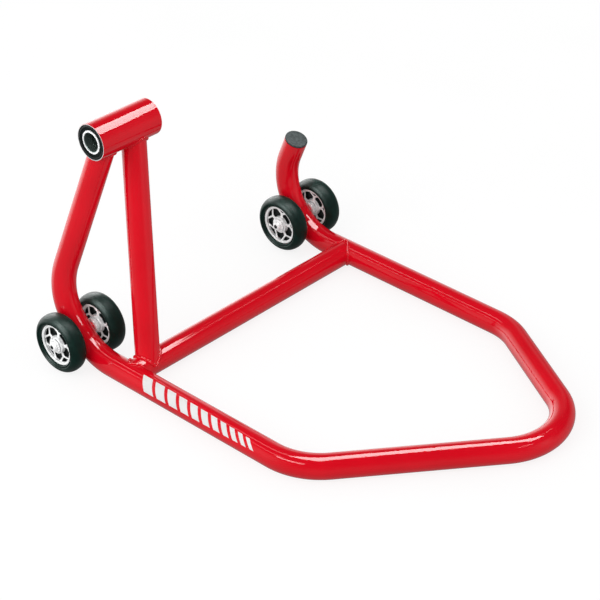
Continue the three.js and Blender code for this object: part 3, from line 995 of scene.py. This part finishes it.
def nut_mesh(seat):
    """A flangeless lock nut: a chamfered hexagon with the collar that holds its nylon ring."""
    corner = NUT_ACROSS / math.sqrt(3)
    hex_top = seat + NUT_HEX_HEIGHT
    bore = BOLT_R + 0.1
    flats = polygon_radius(NUT_ACROSS)
    edge = polygon_radius(NUT_ACROSS, most=corner - 0.5)
    end = polygon_radius(NUT_ACROSS, most=corner - 1.1)
    rows = [(bore, seat), (end, seat), (edge, seat + 0.35), (flats, seat + 0.9),
            (flats, hex_top - 0.9), (edge, hex_top - 0.35), (end, hex_top), (7.6, hex_top + 0.1),
            (7.4, hex_top + 0.5), (7.3, seat + 9.3), (7.0, seat + 9.8), (6.4, seat + 10),
            (6.1, seat + 9.7), (bore + 0.3, seat + 9.5), (bore, seat + 9.2)]
    return new_mesh("lock_nut_fine", *turned(rows, 2 * SMALL), sharp=25)


def washer_mesh(start, disc, face):
    """A washer with a boss that bears on the bearing's inner ring."""
    bore = WHEEL_BEARING_BORE_R
    points = [(bore, start, 0.1), (BOSS_R, start, 0.2), (BOSS_R, disc, 0.1), (WASHER_R, disc, 0.4),
              (WASHER_R, face, 0.5), (bore, face, 0.1)]
    return turned_mesh("axle_washer", points, facets=2 * SMALL, sharp=30, steps=3)


def sleeve_seam(side_x, hook, axis_point):
    """The seam round an axle sleeve where it comes out of the hook."""
    seam = []
    for index in range(SMALL):
        angle = TURN * index / SMALL
        normal = Vector((0, math.cos(angle), math.sin(angle)))
        start = axis_point + normal * AXLE_SLEEVE_R
        point = start + X_AXIS * side_x * hook.leave(start, X_AXIS * side_x)
        seam.append((point, normal, hook.normal(point)))
    return seam


def add_axles():
    wheel_offset = (wheel_centres["left_inner_wheel"].x - wheel_centres["left_outer_wheel"].x) / 2
    boss = WHEEL_HUB_HALF_WIDTH + FIT
    disc = boss + BOSS_HEIGHT
    washer_face = disc + WASHER_THICKNESS
    head_seat = washer_face + FIT
    bolt = bolt_mesh(-wheel_offset - head_seat, wheel_offset + BOLT_TIP)
    nut = nut_mesh(wheel_offset + head_seat)
    washer = washer_mesh(wheel_offset + boss, wheel_offset + disc, wheel_offset + washer_face)
    bore = WHEEL_BEARING_BORE_R
    sleeve = ring_mesh("axle_sleeve_tube", bore, AXLE_SLEEVE_R, -AXLE_SLEEVE_HALF, AXLE_SLEEVE_HALF, 0.6)
    inner_end = AXLE_SLEEVE_HALF + FIT
    outer_end = wheel_offset - boss
    relief = outer_end - BOSS_HEIGHT
    spacer_points = [(bore, inner_end, 0.2), (SPACER_R, inner_end, 0.6), (SPACER_R, relief, 0.8),
                     (BOSS_R, relief, 0.1), (BOSS_R, outer_end, 0.3), (bore, outer_end, 0.1)]
    spacer = turned_mesh("axle_spacer", spacer_points, facets=2 * SMALL, sharp=30)
    for side_name, side in (("left", LEFT), ("right", RIGHT)):
        centre = axle_centres[side_name]
        home = at(centre)
        rows = (
            ("sleeve_tube", sleeve, RED, "axle_sleeve", "red_paint", home),
            ("bolt", bolt, ZINC, "axle_bolt", "zinc_plate", home),
            ("nut", nut, ZINC, "lock_nut", "zinc_plate", home),
            ("nut_side_washer", washer, ZINC, "nut_washer", "zinc_plate", home),
            ("head_side_washer", washer, ZINC, "head_washer", "zinc_plate", home @ END_FOR_END),
        )
        for what, mesh, material, node, slot, matrix in rows:
            add_piece(f"{side_name}_{what}", mesh, [material], "frame", [f"{side_name}_{node}"], matrix)
        places = (("outer", side), ("inner", -side))
        for place_name, where in places:
            matrix = home @ END_FOR_END if where < 0 else home
            node = f"{side_name}_{place_name}_wheel_spacer"
            add_piece(f"{node}_cone", spacer, [ZINC], "frame", [node], matrix)
        hook = Round(centre, Vector((0, math.cos(HOOK_SLOPE), math.sin(HOOK_SLOPE))), TUBE_R - BITE)
        for place_name, where in places:
            seam = sleeve_seam(where, hook, centre)
            add_weld(f"{side_name}_{place_name}_axle_weld", bead_shape(seam, 1.2, 2.6))


# ---- decal ----


def add_decal():
    """Slanted white bars, shorter towards the handle, on the left run's upper outer side."""
    start, axis = run_rounds[LEFT].point, run_rounds[LEFT].axis
    up = Vector((0, 0, 1))
    out = up.cross(axis).normalized()
    if out.x > 0:
        out = -out
    bars, widest, narrowing, gap, slant = 11, 21, 1.3, 7.5, 16
    rows, columns = 14, 4
    outside, inside = 0.14, 0.02  # height over the paint
    shapes = []
    along = 125.0
    for index in range(bars):
        width = widest - narrowing * index
        low, high = math.radians(8 + 1.2 * index), math.radians(78 - 1.8 * index)
        skins = []
        for lift in (outside, inside):
            for row in range(rows + 1):
                share = row / rows
                angle = low + (high - low) * share
                normal = out * math.cos(angle) + up * math.sin(angle)
                for column in range(columns + 1):
                    position = along + slant * (1 - share) + width * column / columns
                    skins.append(start + axis * position + normal * (TUBE_R + lift))
        shapes.append((skins, shell_faces(rows + 1, columns + 1)))
        along += width + gap
    mesh = new_mesh("side_stripes", *joined(*shapes), sharp=60)
    add_piece("side_stripes", mesh, [VINYL], "frame", [])


def shell_faces(rows, columns):
    """A closed thin shell: an outer grid, an inner grid after it, and the rim between them."""
    count = rows * columns
    outer = grid_faces(rows, columns, wrap_rows=False, wrap_columns=False)
    inner = [tuple(count + i for i in reversed(face)) for face in outer]
    edge = list(range(columns))
    edge += [row * columns + columns - 1 for row in range(1, rows)]
    edge += [(rows - 1) * columns + column for column in range(columns - 2, -1, -1)]
    edge += [row * columns for row in range(rows - 2, 0, -1)]
    rim = [(a, b, count + b, count + a) for a, b in zip(edge, edge[1:] + edge[:1])]
    return outer + inner + rim


# ---- studio ----

CAMERA_TARGET = Vector((-0.0661, 0.0260, 0.150))
CAMERA_DISTANCE = 2.8384
CAMERA_AZIMUTH = math.radians(46.555)
CAMERA_ELEVATION = math.radians(32.676)
CAMERA_ROLL = math.radians(-0.460)
CAMERA_LENS = 110.68


def add_camera():
    forward = Vector((
        math.cos(CAMERA_ELEVATION) * math.sin(CAMERA_AZIMUTH),
        math.cos(CAMERA_ELEVATION) * math.cos(CAMERA_AZIMUTH),
        -math.sin(CAMERA_ELEVATION),
    ))
    level = forward.cross(Vector((0, 0, 1))).normalized()
    rise = level.cross(forward)
    right = level * math.cos(CAMERA_ROLL) + rise * math.sin(CAMERA_ROLL)
    up = right.cross(forward)
    data = bpy.data.cameras.new("camera")
    data.lens = CAMERA_LENS
    data.clip_start, data.clip_end = 0.05, 100
    camera = add_object("camera", data)
    turn = Matrix((right, up, -forward)).transposed().to_4x4()
    camera.matrix_world = Matrix.Translation(CAMERA_TARGET - forward * CAMERA_DISTANCE) @ turn
    scene.camera = camera


def add_softbox(name, position, target, size, radiance, diffuse=True, glossy=True):
    """A rectangular light that faces a point."""
    data = bpy.data.lights.new(name, "AREA")
    data.shape = "RECTANGLE"
    data.size, data.size_y = size
    data.energy = radiance * math.pi * size[0] * size[1]
    light = add_object(name, data)
    position, target = Vector(position), Vector(target)
    turn = (target - position).to_track_quat("-Z", "Y").to_matrix().to_4x4()
    light.matrix_world = Matrix.Translation(position) @ turn
    light.visible_camera = False
    light.visible_diffuse = diffuse
    light.visible_glossy = glossy
    return light


def add_floor():
    """A large pale sheet that also glows, so that hardly a shadow shows on it."""
    reach = 9000
    verts = [(-reach, -reach, 0), (reach, -reach, 0), (reach, reach, 0), (-reach, reach, 0)]
    mesh = new_mesh("floor", verts, [(0, 1, 2, 3)])
    glow = {"Emission_Color": (1, 1, 1, 1), "Emission_Strength": 0.84}
    shader = Shader("pale_floor", Roughness=0.7, Specular_IOR_Level=0.0, **glow)
    shader.feed("Base Color", shader.ramp(shader.noise(3), 0.2, 0.21))
    mesh.materials.append(shader.material)
    floor = add_object("floor", mesh)
    floor.visible_diffuse = False  # the world's lower half stands in for the light off the floor
    floor.visible_glossy = False


def add_world():
    """White to the camera. Matt and glossy surfaces see a studio: dim floor, pale walls, dark ceiling."""
    world = bpy.data.worlds.new("studio")
    scene.world = world
    world.use_nodes = True
    world.node_tree.nodes.clear()
    node = Nodes(world.node_tree).node
    direction = node("TexCoord").outputs["Generated"]
    upward = node("SeparateXYZ", {"Vector": direction}).outputs["Z"]
    height = node("MapRange", {"From Min": -1, "Value": upward}).outputs["Result"]

    def background(strength, stops=None):
        """A light whose brightness follows the height of the direction, from -1 down to 1 up."""
        color = (1, 1, 1, 1)
        if stops:
            ramp = node("ValToRGB", {"Fac": height})
            elements = ramp.color_ramp.elements
            for _ in stops[2:]:
                elements.new(0.5)
            for element, (z, value) in zip(elements, stops):
                element.position = (z + 1) / 2
                element.color = (value, value, value, 1)
            color = ramp.outputs["Color"]
        return node("Background", {"Strength": strength, "Color": color}).outputs["Background"]

    def mixed(factor, first, second):
        return node("MixShader", {0: factor, 1: first, 2: second}).outputs["Shader"]

    def towards(azimuth, start, end):
        """0 to 1 as the direction turns to a compass bearing, between two values of the cosine."""
        bearing = (math.sin(azimuth), math.cos(azimuth), 0)
        dot = node("VectorMath", {0: direction, 1: bearing}, operation="DOT_PRODUCT").outputs["Value"]
        limits = {"From Min": start, "From Max": end, "Value": dot}
        return node("MapRange", limits).outputs["Result"]

    fill = background(1.15, [(-0.35, 0.18), (-0.1, 0.65), (0.02, 1.0), (0.5, 0.9), (0.8, 0.4)])
    walls = background(0.62, [(-0.3, 0.6), (0.0, 0.75), (0.1, 1.0), (0.4, 0.9), (0.65, 0.1)])
    shade = background(0.62, [(-0.3, 0.5), (0.0, 0.4), (0.2, 0.25), (0.5, 0.1), (0.65, 0.08)])
    backdrop = background(
        2.4, [(-0.75, 0.2), (-0.5, 0.35), (-0.2, 0.9), (0.03, 1.0), (0.3, 0.6), (0.55, 0.05)]
    )
    flags = background(0.62, [(-0.3, 0.6), (0.0, 0.6), (0.2, 0.35), (0.35, 0.08), (0.65, 0.05)])
    side = towards(CAMERA_AZIMUTH, -0.75, -0.3)
    behind = towards(math.radians(8), 0.55, 0.85)
    right = towards(math.radians(105), 0.6, 0.8)
    room = mixed(side, shade, mixed(behind, mixed(right, walls, flags), backdrop))
    path = node("LightPath").outputs
    seen = mixed(path["Is Glossy Ray"], fill, room)
    node("OutputWorld", {"Surface": mixed(path["Is Camera Ray"], seen, background(1.0))})


def only_for(name, words):
    """A collection of the pieces whose names hold one of the words, for a light kept to them."""
    collection = bpy.data.collections.new(name)
    for piece in scene.objects:
        if piece.type == "MESH" and any(word in piece.name for word in words):
            collection.objects.link(piece)
    return collection


def add_lights():
    """Cards seen only as reflections, a soft key for matt colour, and lights for tyres and bare metal.

    The last two kinds shine on the named pieces alone, so the pieces must be there already.
    """
    ceiling = 2.2
    cards = {  # name: centre, size, radiance
        "overhead_card": ((0.405, 0.12, ceiling), (1.81, 1.0), 12),
        "front_corner_card": ((1.105, -0.7, ceiling), (0.63, 0.64), 12),
        "crossbar_card": ((1.7, -0.25, ceiling), (0.55, 0.1), 4),
        "rear_card": ((-0.3, 1.3, ceiling), (0.25, 1.6), 2.5),
        "left_strip": ((-1.65, 1.9, ceiling), (0.2, 2.8), 3),
        "left_card": ((-2.25, 0.1, ceiling), (0.5, 1.7), 8),
        "front_strip": ((0.2, -2.2, ceiling), (0.8, 0.12), 9),
    }
    for name, (centre, size, radiance) in cards.items():
        add_softbox(name, centre, (*centre[:2], 0), size, radiance, diffuse=False)
    add_softbox("key", (-2.4, 0.2, 1.8), (0, 0, 0.1), (2.0, 2.0), 1.7, glossy=False)
    tyres = only_for("tyre_lights", ["tyre"])
    bare_words = ["rim", "bolt", "washer", "cone", "nut", "_race", "inner_ring"]
    bare = only_for("metal_lights", bare_words)
    for name, centre, size, radiance, diffuse, receivers in (
        ("tyre_key", (-2.2, 0.7, 2.1), (2.2, 2.2), 18, False, tyres),
        ("tyre_rear", (0.7, 3.2, 1.2), (3.0, 1.4), 9, False, tyres),
        ("metal_key", (-2.3, 0.2, 1.3), (1.2, 1.2), 6, True, bare),
        ("metal_front", (-1.9, -1.3, 1.3), (1.0, 1.0), 4, True, bare),
    ):
        card = add_softbox(name, centre, (0, 0.3, 0.05), size, radiance, diffuse=diffuse)
        card.light_linking.receiver_collection = receivers


add_camera()
add_world()
add_floor()
add_tubes()
add_end_cap()
add_sleeve()
add_hub()
add_wheels()
add_axles()
add_decal()
add_lights()
scene.view_settings.view_transform = "Standard"
